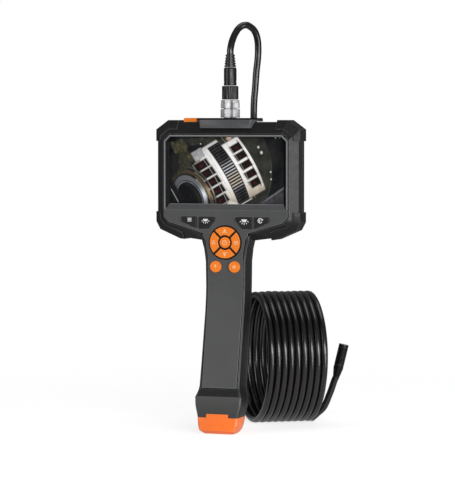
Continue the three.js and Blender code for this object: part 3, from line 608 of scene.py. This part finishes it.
# ------------------------------------------------------------------ connector
C0 = (0, CON_Y, 0)
ob = lathe("receptacle_fine", [(0, 237), (5.0, 237), (5.0, 248.6), (7.6, 248.6), (7.7, 248.75), (7.7, 250.6), (7.45, 250.8), (7.45, 251.3), (7.7, 251.5), (7.7, 254.7), (7.5, 255.2), (7.2, 255.4), (5.0, 255.4), (5.0, 261.6), (4.7, 262), (3.6, 262), (3.6, 258.5), (0, 258.5)], 96, C0)
finish_piece(ob, "unit", ("receptacle",), "painted_reflection")
NR = 40
def knurl(depth, n, rows):
    def f(t, i):
        if i not in rows:
            return 1.0
        w = 0.5 + 0.5 * math.cos(t * n)
        return 1.0 - depth * (1 - w) ** 2
    return f


ob = lathe("coupling_nut_fine", [(5.3, 255.85), (7.0, 255.85), (7.3, 256.0), (7.5, 256.35), (7.5, 260.2), (7.35, 260.4), (7.0, 260.5), (7.0, 260.9), (7.3, 261.0), (7.3, 262.0), (7.05, 262.45), (6.6, 262.55), (5.3, 262.55)], 240, C0, radial=knurl(0.045, NR, (3, 4)))
finish_piece(ob, "coupling_nut", ("coupling_nut",), "painted_reflection")
ob = lathe("plug_grip_fine", [(0, 262.95), (6.2, 262.95), (6.45, 263.15), (6.55, 263.5), (6.55, 272.9), (6.4, 273.35), (6.0, 273.65), (0, 273.7)], 216, C0, radial=knurl(0.07, 18, (3, 4)))
finish_piece(ob, "unit", ("plug_grip",), "plug")
ob = lathe("plug_body_fine", [(0, 274.0), (4.8, 274.0), (5.05, 274.25), (5.05, 276.6), (4.85, 276.8), (4.85, 277.3), (5.05, 277.5), (5.05, 286.9), (4.9, 287.6), (4.55, 288.1), (4.2, 288.3), (0, 288.3)], 72, C0)
finish_piece(ob, "unit", ("plug_body",), "plug")
prof = [(0, 288.6)]
for i in range(5):
    z, r = 288.6 + i * 2.1, 4.7 - i * 0.24
    prof += [(r - 0.15, z), (r, z + 0.15), (r - 0.05, z + 1.15), (r - 0.25, z + 1.3), (r - 0.75, z + 1.35), (r - 0.8, z + 2.0)]
prof += [(2.6, 299.1), (0, 299.1)]
ob = lathe("strain_relief_fine", prof, 64, C0)
finish_piece(ob, "unit", ("strain_relief",), "plug")

# ------------------------------------------------------------------ screws
for i in range(1, 7):
    l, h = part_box(f"screw_{i}")
    cx, cz = (l.x + h.x) / 2 / MM, (l.z + h.z) / 2 / MM
    y0, y1 = l.y / MM - SY, h.y / MM - SY
    hl = 2.2
    prof = [(0, 0), (1.1, 0), (1.3, 0.3)]
    n = int((y1 - y0 - hl - 0.5) / 0.6)
    for k in range(n):
        z = 0.4 + k * 0.6
        prof += [(1.3, z), (1.12, z + 0.3)]
    H = y1 - y0
    prof += [(1.3, H - hl), (2.6, H - hl), (2.75, H - hl + 0.2), (2.75, H - 0.6), (2.5, H - 0.15), (2.1, H), (1.3, H), (1.25, H - 1.2), (0, H - 1.2)]
    def hexhole(t, j, last=len(prof)):
        if j in (last - 2, last - 3):
            a = (t + math.pi / 6) % (math.pi / 3) - math.pi / 6
            return 0.92 / math.cos(a)
        return 1.0
    ob = lathe(f"screw_{i}_fine", prof, 48, (cx, y0, cz), (0, 1, 0), hexhole)
    finish_piece(ob, "unit", (f"screw_{i}",), "steel")

# ------------------------------------------------------------------ battery cell
CELL_DIR = Vector((0, 0.205, 1)).normalized()
l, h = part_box("battery_cell")
cc = (l + h) / 2 / MM
ob = lathe("battery_cell_fine", [(0, -32.5), (8.7, -32.5), (9.1, -32.1), (9.1, 30.6), (8.7, 31.0), (9.05, 31.5), (8.9, 32.1), (8.4, 32.4), (4.2, 32.4), (4.0, 33.4), (3.7, 33.6), (0, 33.6)], 64, (0, -16 - 7.55 + 17.4, 70), tuple(CELL_DIR))
finish_piece(ob, "unit", ("battery_cell",), "cell")

# ------------------------------------------------------------------ key icons, thin printed shapes
def icon(name, loops, body, y, mat="icon_white", t=0.06):
    ob = prism(name, loops, y - t, y + 0.02)
    return finish_piece(ob, body, (), mat)


KY = FRONT - 0.9
# list of lines
icon("icon_menu", [bar(-31.2, PAD + z, -27.9, PAD + z, 0.55) for z in (18.9, 17.8, 16.7)] , "key_menu", KY)
def lamp(cx, cz, size):
    loops = [arc(cx, cz + 0.2, 2.1 * size, 180, 360, 14)]
    for a in (-150, -120, -90, -60, -30):
        c, s_ = math.cos(math.radians(a)), math.sin(math.radians(a))
        loops.append(bar(cx + c * 2.7 * size, cz + 0.2 + s_ * 2.7 * size, cx + c * 3.9 * size, cz + 0.2 + s_ * 3.9 * size, 0.55))
    return loops


icon("icon_light_down", lamp(-16.2, PAD + 18.3, 0.95), "key_light_down", KY)
icon("icon_light_up", lamp(16.2, PAD + 18.3, 1.08), "key_light_up", KY)
icon("icon_rotate", ring_band(29.4, PAD + 17.6, 1.45, 2.05, 40, 330, 24) + [[(30.0, PAD + 18.6), (32.0, PAD + 18.9), (31.0, PAD + 17.3)]] + [arc(29.4, PAD + 17.6, 0.95, 90, 270, 12)], "key_rotate", KY)
QY = FRONT - 1.2
def tri(cx, cz, s_, ang):
    return [(cx + s_ * math.cos(math.radians(ang + k)), cz + s_ * math.sin(math.radians(ang + k))) for k in (0, 125, 235)]


icon("icon_up", [tri(0, PAD + 9.6, 1.5, 90), bar(-1.9, PAD + 8.0, 1.9, PAD + 8.0, 0.45)], "dpad_up", QY, "icon_pale")
icon("icon_down", [tri(0, PAD - 9.6, 1.5, -90), bar(-1.9, PAD - 8.0, 1.9, PAD - 8.0, 0.45)], "dpad_down", QY, "icon_pale")
icon("icon_left", [bar(-10.9, PAD + z, -8.0, PAD + z, 0.45) for z in (1.2, 0.0, -1.2)], "dpad_left", QY, "icon_pale")
def frame_sq(cx, cz, w, h_, t):
    return [bar(cx - w, cz + h_, cx + w, cz + h_, t), bar(cx - w, cz - h_, cx + w, cz - h_, t), bar(cx - w, cz - h_ + t / 2 + 0.01, cx - w, cz + h_ - t / 2 - 0.01, t), bar(cx + w, cz - h_ + t / 2 + 0.01, cx + w, cz + h_ - t / 2 - 0.01, t)]


icon("icon_right", frame_sq(9.4, PAD, 1.4, 1.1, 0.4) + [arc(9.4, PAD, 0.5, 0, 337.5, 15)], "dpad_right", QY, "icon_pale")
icon("icon_centre", ring_band(0, PAD, 1.5, 1.95, 0, 360, 40) + ring_band(0, PAD, 0.0001, 0.7, 0, 180, 12), "ok_key", FRONT - 1.42, "icon_pale", 0.05)
icon("icon_round_left", [bar(-7.85, PAD - 20.3, -7.85, PAD - 18.9, 0.5), arc(-7.85, PAD - 18.3, 0.75, 0, 337.5, 15)], "key_round_left", FRONT - 1.35, "icon_pale")
icon("icon_round_right", ring_band(7.85, PAD - 19.2, 0.75, 1.25, 0, 360, 32) + [arc(7.85, PAD - 19.2, 0.35, 0, 337.5, 15)], "key_round_right", FRONT - 1.35, "icon_pale")

# ------------------------------------------------------------------ the picture on the display: a generic alternator, drawn by formulas
def smooth(e0, e1, x):
    t = np.clip((x - e0) / (e1 - e0), 0, 1)
    return t * t * (3 - 2 * t)


def over(img, col, a):
    return img * (1 - a[..., None]) + np.array(col)[None, None, :] * a[..., None] if np.ndim(col) == 1 else img * (1 - a[..., None]) + col * a[..., None]


def fractal(X, Y, seed, f0=0.08, octaves=4):
    rs = np.random.RandomState(seed)
    out = np.zeros_like(X)
    amp, f = 1.0, f0
    for _ in range(octaves):
        for _ in range(3):
            a = rs.rand() * 6.283
            out += amp * np.sin((X * math.cos(a) + Y * math.sin(a)) * f * 6.283 + rs.rand() * 6.283) / 3
        amp *= 0.55
        f *= 1.9
    return out


def picture(X, Y):
    """X 0..131 to the right, Y 0..76 down; returns linear-light colours."""
    n1, n2, n3 = fractal(X, Y, 3, 0.03), fractal(X, Y, 11, 0.09, 3), fractal(X, Y, 23, 0.05)
    img = np.stack([0.022 + 0.016 * n1, 0.024 + 0.016 * n1, 0.022 + 0.012 * n1], -1).clip(0.004, 1)
    # dim engine bay: warm blobs upper left, greenish housing to the right
    for (cx, cy, rx, ry, c, k) in [(11, 12, 11, 8, (0.17, 0.155, 0.09), 0.8), (16, 22, 8, 9, (0.12, 0.11, 0.06), 0.6), (36, 6, 26, 5, (0.10, 0.10, 0.075), 0.7), (17, 36, 9, 16, (0.09, 0.09, 0.06), 0.8), (24, 24, 5, 6, (0.22, 0.19, 0.10), 0.45)]:
        d = ((X - cx) / rx) ** 2 + ((Y - cy) / ry) ** 2
        img = over(img, np.array(c)[None, None, :] * (0.65 + 0.6 * np.abs(n2))[..., None], k * smooth(1.15, 0.35, d + 0.35 * n2))
    d = np.hypot((X - 84) / 33, (Y - 40) / 52)
    img = over(img, np.array((0.075, 0.078, 0.062))[None, None, :] * (0.8 + 0.25 * n3)[..., None], smooth(1.02, 0.97, d) * 0.95)
    img = over(img, (0.16, 0.165, 0.13), smooth(0.035, 0.0, np.abs(d - 0.985)) * 0.5 * smooth(-1, 20, Y - 15))
    # lower right strut
    s = (Y - 74) * 0.83 + (X - 110) * 0.56
    img = over(img, np.array((0.13, 0.13, 0.14))[None, None, :] * (0.8 + 0.3 * n2)[..., None], smooth(1.0, 0.0, np.abs(s - 5) - 8) * smooth(100, 106, X))
    img = over(img, (0.38, 0.38, 0.40), smooth(1.3, 0.0, np.abs(s + 2.0)) * smooth(104, 112, X) * 0.8)
    # hot spots
    for cx, cy, r in [(101.5, 12.5, 1.6), (105, 18.5, 2.0), (115.5, 40, 1.2), (116, 48, 1.1), (35, 9, 0.9), (121, 2, 0.8), (126, 1.5, 0.9)]:
        img = over(img, (0.85, 0.86, 0.82), smooth(r, r * 0.4, np.hypot(X - cx, (Y - cy) * 0.8)) * 0.85)
    # alternator coordinates: a along the shaft, b across it
    dx, dy = X - 67.5, Y - 44.5
    a = 0.866 * dx - 0.5 * dy
    b = 0.5 * dx + 0.866 * dy
    bb = b + 2
    L1 = -3.0 - 0.0022 * bb ** 2
    R1 = 12.0 - 0.0030 * bb ** 2
    # rear body left of the stator
    Lend = -31.5 + 0.010 * (b + 2) ** 2
    inb = smooth(40, 38, np.abs(b + 3))
    tone = 0.97 - 0.00022 * (b + 8) ** 2 * 1.2 + 0.05 * n2
    warm = smooth(5, 38, b)
    silver = np.stack([tone, tone * (0.985 - 0.10 * warm), tone * (0.965 - 0.24 * warm)], -1).clip(0, 1.0)
    inr = smooth(34.5, 32.5, np.abs(b)) * smooth(R1 - 1, R1 + 1, a) + smooth(R1 + 1, R1 - 1, a)
    m = smooth(Lend - 0.5, Lend + 0.5, a) * smooth(R1 + 21.5, R1 + 20.5, a) * inb * inr
    shade = 0.35 + 0.65 * smooth(Lend - 1, Lend + 6, a)
    img = over(img, silver * shade[..., None], m)
    # top ear and shaded nose
    m = smooth(1, 0, np.maximum(np.abs(a + 19) - 6.0, np.abs(b + 38) - 5.0))
    img = over(img, np.array((0.42, 0.42, 0.43))[None, None, :] * (1 + 0.25 * n2)[..., None], m)
    nose = smooth(1, 0, np.maximum(np.abs(a + 32 - 0.012 * (b + 6) ** 2) - 3.4, np.abs(b + 6) - 26))
    img = over(img, np.array((0.36, 0.33, 0.26))[None, None, :] * (1 + 0.5 * n2)[..., None], nose * 0.9)
    m = smooth(0.9, 0.0, np.abs(a + 29.6 - 0.012 * (b + 6) ** 2)) * smooth(27, 25, np.abs(b + 6))
    img = over(img, (0.05, 0.045, 0.04), m * 0.8)
    # windows with copper inside
    def windows(img, centres, a0, curve, wa, wb):
        for i, cb in enumerate(centres):
            ca = a0 - curve * (cb + 3) ** 2
            d = np.maximum(np.abs(a - ca - 0.10 * (b - cb)) / wa, np.abs(b - cb) / wb)
            img = over(img, (0.35, 0.34, 0.31), smooth(1.22, 1.12, d) * 0.55)
            inner = np.stack([0.014 + 0.055 * smooth(0.6, 0.1, d) * (1 + n2), 0.008 + 0.008 * n2, 0.007 + 0.005 * n2], -1).clip(0.003, 1)
            img = over(img, inner, smooth(1.04, 0.92, d))
        return img
    img = windows(img, (-25.5, -14.6, -3.3, 8.0, 19.2, 29.5), -19.0, 0.0042, 8.4, 4.7)
    img = windows(img, (-23.0, -12.6, -1.0, 10.4, 21.4), 23.4, 0.0012, 6.6, 4.2)
    # outer right rim ribs
    m = smooth(0.8, 0.1, np.abs(a - 30.6 + 0.002 * bb ** 2)) * smooth(31, 29, np.abs(b + 1))
    img = over(img, (0.86, 0.84, 0.78), m)
    m = smooth(0.9, 0.1, np.abs(a - 29.0 + 0.002 * bb ** 2)) * smooth(30, 28, np.abs(b + 1))
    img = over(img, (0.03, 0.03, 0.03), m * 0.8)
    # ridge lines on the silver bands
    for off, c, w in ((-4.6, (0.45, 0.45, 0.46), 0.45), (-11.6, (0.62, 0.61, 0.58), 0.6)):
        img = over(img, c, smooth(w, 0.0, np.abs(a - L1 - off)) * inb * 0.75)
    img = over(img, (0.60, 0.57, 0.50), smooth(0.6, 0.0, np.abs(a - R1 - 6.6)) * inb * 0.6)
    # stator pack: dark with bright laminated ribs
    st = smooth(L1 - 0.4, L1 + 0.4, a) * smooth(R1 + 0.4, R1 - 0.4, a) * smooth(38.5, 37.5, np.abs(b + 1))
    rib = 0.5 + 0.5 * np.cos((b + 0.5) * 6.283 / 3.3)
    zone = smooth(-20, -9, b) * smooth(22, 12, b)
    lum = 0.012 + 0.62 * smooth(0.55, 0.85, rib) * zone + 0.06 * smooth(0.6, 0.9, rib) * (1 - zone) + 0.02 * n2
    tint = smooth(-6, 6, b) * smooth(20, 10, b)
    stator = np.stack([lum * (1 + 0.10 * tint), lum * (1.0 - 0.02 * tint), lum * (1.06 - 0.25 * tint)], -1).clip(0.004, 1)
    img = over(img, stator, st)
    img = over(img, (0.012, 0.012, 0.014), smooth(0.8, 0.1, np.abs(a - L1)) * smooth(38, 37, np.abs(b + 1)) * 0.9)
    img = over(img, (0.012, 0.012, 0.014), smooth(0.8, 0.1, np.abs(a - R1)) * smooth(38, 37, np.abs(b + 1)) * 0.8)
    # bright top lug of the right body
    img = over(img, (0.80, 0.62, 0.48), smooth(1.0, 0.2, np.hypot((a - 21.5) / 5.5, (b + 36.5) / 4.2)) * 0.85)
    # pulley, lower left
    for r0, r1, c in [(0, 17.2, (0.010, 0.011, 0.012)), (17.2, 18.2, (0.30, 0.31, 0.33)), (19.0, 24.5, (0.62, 0.65, 0.70)), (24.5, 26.0, (0.10, 0.085, 0.06)), (26.0, 30.0, (0.36, 0.27, 0.17)), (30.0, 31.6, (0.05, 0.045, 0.04)), (31.6, 33.4, (0.40, 0.37, 0.32))]:
        pd = np.hypot((a + 55) * 1.55, (b + 1.0) * 0.96) if r0 < 1 else np.hypot((a + 55 - 0.22 * r0) * 1.35, (b + 1.0) * 0.92)
        band = smooth(r1 + 0.5, r1 - 0.5, pd) * (smooth(r0 - 0.5, r0 + 0.5, pd) if r0 else 1.0)
        hl = (0.30 + 1.0 * np.exp(-((b - 4) / 7.0) ** 2)) if r0 > 18 else 1.0 + 0.4 * n3
        band = band * smooth(-61, -57, a) * smooth(-26, -20, b + 8)
        img = over(img, (np.array(c)[None, None, :] * np.asarray(hl)[..., None] if np.ndim(hl) else np.array(c)[None, None, :] * hl) * np.ones_like(img), band)
    img = over(img, (0.75, 0.76, 0.78), smooth(0.7, 0.1, np.abs((X - 2) * 0.87 - (Y - 62) * 0.5)) * smooth(8, 7, np.abs(Y - 67)) * 0.8)
    # lower edge lug
    img = over(img, (0.84, 0.82, 0.76), smooth(1.0, 0.5, np.hypot((X - 72) / 9, (Y - 77) / 4.5)))
    img = over(img, (0.80, 0.78, 0.74), smooth(0.8, 0.2, np.abs((X - 88) * 0.5 + (Y - 73) * 0.87)) * smooth(7, 6, np.abs(X - 88)))
    # lens fall-off
    v = 1.0 - 0.30 * smooth(0.55, 1.1, np.hypot((X - 65.5) / 70, (Y - 38) / 44))
    img = img * v[..., None]
    return (np.clip(img, 0.0, 1.0) ** 1.28 * 1.08).clip(0.0012, 1.0)


NX, NZ = 236, 134
x0, x1, z0, z1 = -48.2, 48.2, PAD + 29.2, PAD + 84.0
xs, zs = np.linspace(x0, x1, NX), np.linspace(z1, z0, NZ)
XX, ZZ = np.meshgrid(xs, zs)
cols = picture((XX + 47.5) / 95.0 * 131.0, (PAD + 84.2 - ZZ) / 53.9 * 76.0)
verts = [P(x, FRONT + 4.56, z) for x, z in zip(XX.ravel(), ZZ.ravel())]
faces = [(r * NX + c, (r + 1) * NX + c, (r + 1) * NX + c + 1, r * NX + c + 1) for r in range(NZ - 1) for c in range(NX - 1)]
# a closed thin slab: front grid, plain back
nb = len(verts)
border = [c for c in range(NX)] + [r * NX + NX - 1 for r in range(1, NZ)] + [(NZ - 1) * NX + c for c in range(NX - 2, -1, -1)] + [r * NX for r in range(NZ - 2, 0, -1)]
verts += [verts[i] + Vector((0, 0.1 * MM, 0)) for i in border]
nbd = len(border)
faces += [(border[i], border[(i + 1) % nbd], nb + (i + 1) % nbd, nb + i) for i in range(nbd)]
faces.append(tuple(nb + i for i in range(nbd)))
me = bpy.data.meshes.new("display_picture")
me.from_pydata(verts, [], faces)
at = me.color_attributes.new("shade", "FLOAT_COLOR", "POINT")
flat = np.ones((len(verts), 4), np.float32)
flat[:nb, :3] = cols.reshape(-1, 3)
flat[nb:, :3] = 0.01
at.data.foreach_set("color", flat.ravel())
bmx = bmesh.new(); bmx.from_mesh(me); bmesh.ops.recalc_face_normals(bmx, faces=bmx.faces); bmx.to_mesh(me); bmx.free()
pic = bpy.data.objects.new("display_picture", me)
scene.collection.objects.link(pic)
m, nt, b = new_mat("display_picture")
ca = nt.nodes.new("ShaderNodeVertexColor"); ca.layer_name = "shade"
grid = noise(nt, 4200, 2)
dim = maprange(nt, grid.outputs["Fac"], 0.93, 1.05)
mx = nt.nodes.new("ShaderNodeVectorMath"); mx.operation = "SCALE"
nt.links.new(ca.outputs["Color"], mx.inputs[0]); nt.links.new(dim, mx.inputs["Scale"])
nt.links.new(mx.outputs[0], b.inputs["Emission Color"])
b.inputs["Emission Strength"].default_value = 1.0
nt.links.new(ramp(nt, grid.outputs["Fac"], [(0.3, (0.004, 0.004, 0.005)), (0.7, (0.008, 0.008, 0.010))]), b.inputs["Base Color"])
b.inputs["Roughness"].default_value = 0.5
b.inputs["Specular IOR Level"].default_value = 0.08
finish_piece(pic, "unit", (), m)

# display window: clear, lightly smudged
m, nt, b = new_mat("screen_glass")
sm = noise(nt, 70, 5)
nt.links.new(maprange(nt, sm.outputs["Fac"], 0.02, 0.10), b.inputs["Roughness"])
nt.links.new(ramp(nt, sm.outputs["Fac"], [(0.3, (0.006, 0.006, 0.007)), (0.7, (0.010, 0.010, 0.012))]), b.inputs["Base Color"])
nt.links.new(maprange(nt, sm.outputs["Fac"], 0.03, 0.05), b.inputs["Alpha"])
b.inputs["Specular IOR Level"].default_value = 0.2
fw = refine("screen_window", 0.15, 2, mat="display")
fw.data.materials.clear(); fw.data.materials.append(m)

# inner boards and trays keep their CAD shapes with softened edges
for n in ("lcd_panel", "backlight_tray", "main_board", "keypad_membrane", "keypad_board", "battery_cradle", "usb_socket", "card_slot", "memory_card", "ribbon_cable"):
    refine(n, 0.12, 1)

# ------------------------------------------------------------------ studio
def floor_mesh():
    bm = bmesh.new()
    bmesh.ops.create_circle(bm, cap_ends=True, segments=96, radius=1.6)
    me = bpy.data.meshes.new("studio_floor")
    bm.to_mesh(me)
    bm.free()
    ob = bpy.data.objects.new("studio_floor", me)
    ob.location = (0.02, 0.05, -0.0001)
    scene.collection.objects.link(ob)
    return ob


floor = floor_mesh()
m, nt, b = new_mat("studio_floor")
nt.links.new(ramp(nt, noise(nt, 3, 3).outputs["Fac"], [(0.3, (0.93, 0.93, 0.93)), (0.7, (0.95, 0.95, 0.95))]), b.inputs["Base Color"])
b.inputs["Roughness"].default_value = 0.9
b.inputs["Specular IOR Level"].default_value = 0.1
b.inputs["Emission Color"].default_value = (1, 1, 1, 1)
b.inputs["Emission Strength"].default_value = 0.5
far = nt.nodes.new("ShaderNodeTexGradient")
far.gradient_type = "SPHERICAL"
tc = nt.nodes.new("ShaderNodeTexCoord")
mp = nt.nodes.new("ShaderNodeMapping")
mp.inputs["Scale"].default_value = (0.8, 0.8, 0.8)
nt.links.new(tc.outputs["Object"], mp.inputs["Vector"])
nt.links.new(mp.outputs[0], far.inputs[0])
nt.links.new(maprange(nt, far.outputs["Fac"], 0.0, 0.5, 0.6, 0.95), b.inputs["Alpha"])
floor.data.materials.append(m)

world = bpy.data.worlds.new("studio")
scene.world = world
world.use_nodes = True
wn = world.node_tree
wn.nodes["Background"].inputs[0].default_value = (1, 1, 1, 1)
wn.nodes["Background"].inputs[1].default_value = 0.17
seen = wn.nodes.new("ShaderNodeBackground")
seen.inputs[0].default_value = (1, 1, 1, 1)
seen.inputs[1].default_value = 1.0
path = wn.nodes.new("ShaderNodeLightPath")
pick = wn.nodes.new("ShaderNodeMixShader")
wn.links.new(path.outputs["Is Camera Ray"], pick.inputs[0])
wn.links.new(wn.nodes["Background"].outputs[0], pick.inputs[1])
wn.links.new(seen.outputs[0], pick.inputs[2])
wn.links.new(pick.outputs[0], wn.nodes["World Output"].inputs[0])


def area(name, loc, target, size, power, size_y=None):
    ld = bpy.data.lights.new(name, "AREA")
    ld.energy = power
    ld.shape = "RECTANGLE"
    ld.size = size
    ld.size_y = size_y or size
    lo_ = bpy.data.objects.new(name, ld)
    lo_.location = loc
    d = Vector(target) - Vector(loc)
    lo_.rotation_euler = d.to_track_quat("-Z", "Y").to_euler()
    scene.collection.objects.link(lo_)
    lo_.visible_camera = False
    return lo_


area("key_left", (-0.95, -0.95, 0.52), (0, 0, 0.12), 0.45, 4.2, 0.7)
area("front_right", (0.85, -1.15, 0.50), (0.03, 0.05, 0.10), 0.75, 11.3, 0.50)
area("strip_right", (1.0, -0.45, 0.14), (0.03, 0.03, 0.10), 0.24, 4.6, 0.5)
area("top_soft", (0.1, 0.15, 1.3), (0, 0, 0.1), 0.8, 3.5)
scene.view_settings.view_transform = "Standard"
scene.view_settings.look = "None"
